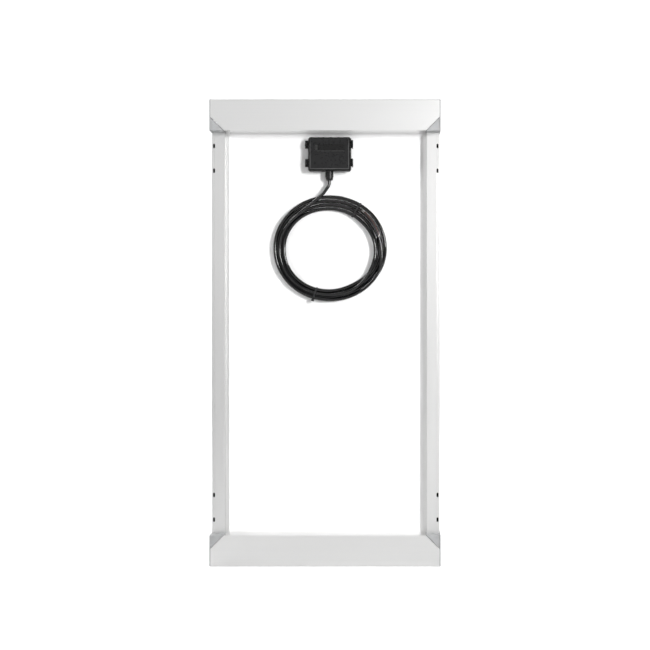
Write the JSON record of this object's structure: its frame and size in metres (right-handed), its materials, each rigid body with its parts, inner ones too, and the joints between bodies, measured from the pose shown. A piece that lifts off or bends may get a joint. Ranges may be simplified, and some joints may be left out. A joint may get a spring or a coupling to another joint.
{
  "type": "solar panel",
  "caption": "Framed glass solar panel with wedge-shaped hollow end rails, slim side rails, corner caps, a hinged junction box and a coiled two-core lead on its back.",
  "frame": {"origin": "middle of the plane of the two end rails' backs, which the panel is fastened down on", "axes": "-Y is out of the back, +Y out of the glass, +Z along the panel towards the junction box, +X to the right seen from the back"},
  "size_m": [0.51, 0.05, 1.03],
  "materials": {
    "frame_aluminium": "satin anodised extrusion",
    "cap_plastic": "satin grey moulding",
    "key_metal": "die cast",
    "screw_steel": "stainless",
    "front_glass": "low-iron tempered, lightly textured",
    "encapsulant": "clear film",
    "cell_silicon": "dark blue-black monocrystalline",
    "ribbon_copper": "tinned copper",
    "backsheet_white": "white polymer film",
    "seal_rubber": "black sealant",
    "box_plastic": "fine-textured black moulding",
    "gasket_rubber": "soft rubber",
    "terminal_plastic": "black moulding",
    "terminal_metal": "tinned brass",
    "diode_body": "moulded epoxy",
    "cable_sheath": "black rubbery sheath, semi-gloss",
    "core_red": "red core insulation",
    "core_black": "black core insulation",
    "ferrule_metal": "tinned copper",
    "tie_nylon": "black nylon"
  },
  "bodies": {
    "root": {"end_rail_top": "frame_aluminium", "end_rail_bottom": "frame_aluminium", "side_rail_left": "frame_aluminium", "side_rail_right": "frame_aluminium", "corner_cap_top_left": "cap_plastic", "corner_cap_top_right": "cap_plastic", "corner_cap_bottom_left": "cap_plastic", "corner_cap_bottom_right": "cap_plastic", "corner_key_top_left": "key_metal", "corner_key_top_right": "key_metal", "corner_key_bottom_left": "key_metal", "corner_key_bottom_right": "key_metal", "cap_screws": "screw_steel", "front_glass": "front_glass", "front_encapsulant": "encapsulant", "solar_cells": "cell_silicon", "cell_ribbons": "ribbon_copper", "string_busbars": "ribbon_copper", "rear_encapsulant": "encapsulant", "backsheet": "backsheet_white", "edge_seal": "seal_rubber", "adhesive_pad": "seal_rubber", "junction_box_base": "box_plastic", "hinge_pins": "screw_steel", "terminal_block": "terminal_plastic", "terminal_clamps": "terminal_metal", "terminal_screws": "screw_steel", "bypass_diodes": "diode_body", "inner_wires": "core_black", "gland_body": "box_plastic", "gland_locknut": "box_plastic", "gland_seal": "gasket_rubber", "cable_lead": "cable_sheath", "cable_coil": "cable_sheath", "core_red": "core_red", "core_black": "core_black", "core_ferrules": "ferrule_metal", "cable_tie_upper": "tie_nylon", "cable_tie_lower": "tie_nylon"},
    "lid": {"junction_box_lid": "box_plastic", "lid_gasket": "gasket_rubber"},
    "gland_ring": {"gland_ring": "ferrule_metal"},
    "gland_nut": {"gland_nut": "box_plastic"}
  },
  "joints": [
    {"name": "lid_hinge", "type": "hinge", "parent": "root", "child": "lid", "pos_m": [-0.044, 0.034, 0.3979], "axis": [0, 0, -1], "range_deg": [0, 110]},
    {"name": "gland_ring_slide", "type": "slide", "parent": "root", "child": "gland_ring", "axis": [0, 0, -1], "range_m": [0, 0.0031]},
    {"name": "gland_nut_turn", "type": "hinge", "parent": "gland_ring", "child": "gland_nut", "pos_m": [0.0075, 0.0335, 0.3535], "axis": [0, 0, -1], "range_deg": [0, 720]}
  ],
  "couplings": [
    {"joint": "gland_ring_slide", "follows": "gland_nut_turn", "m_per_rad": 0.00023873}
  ]
}
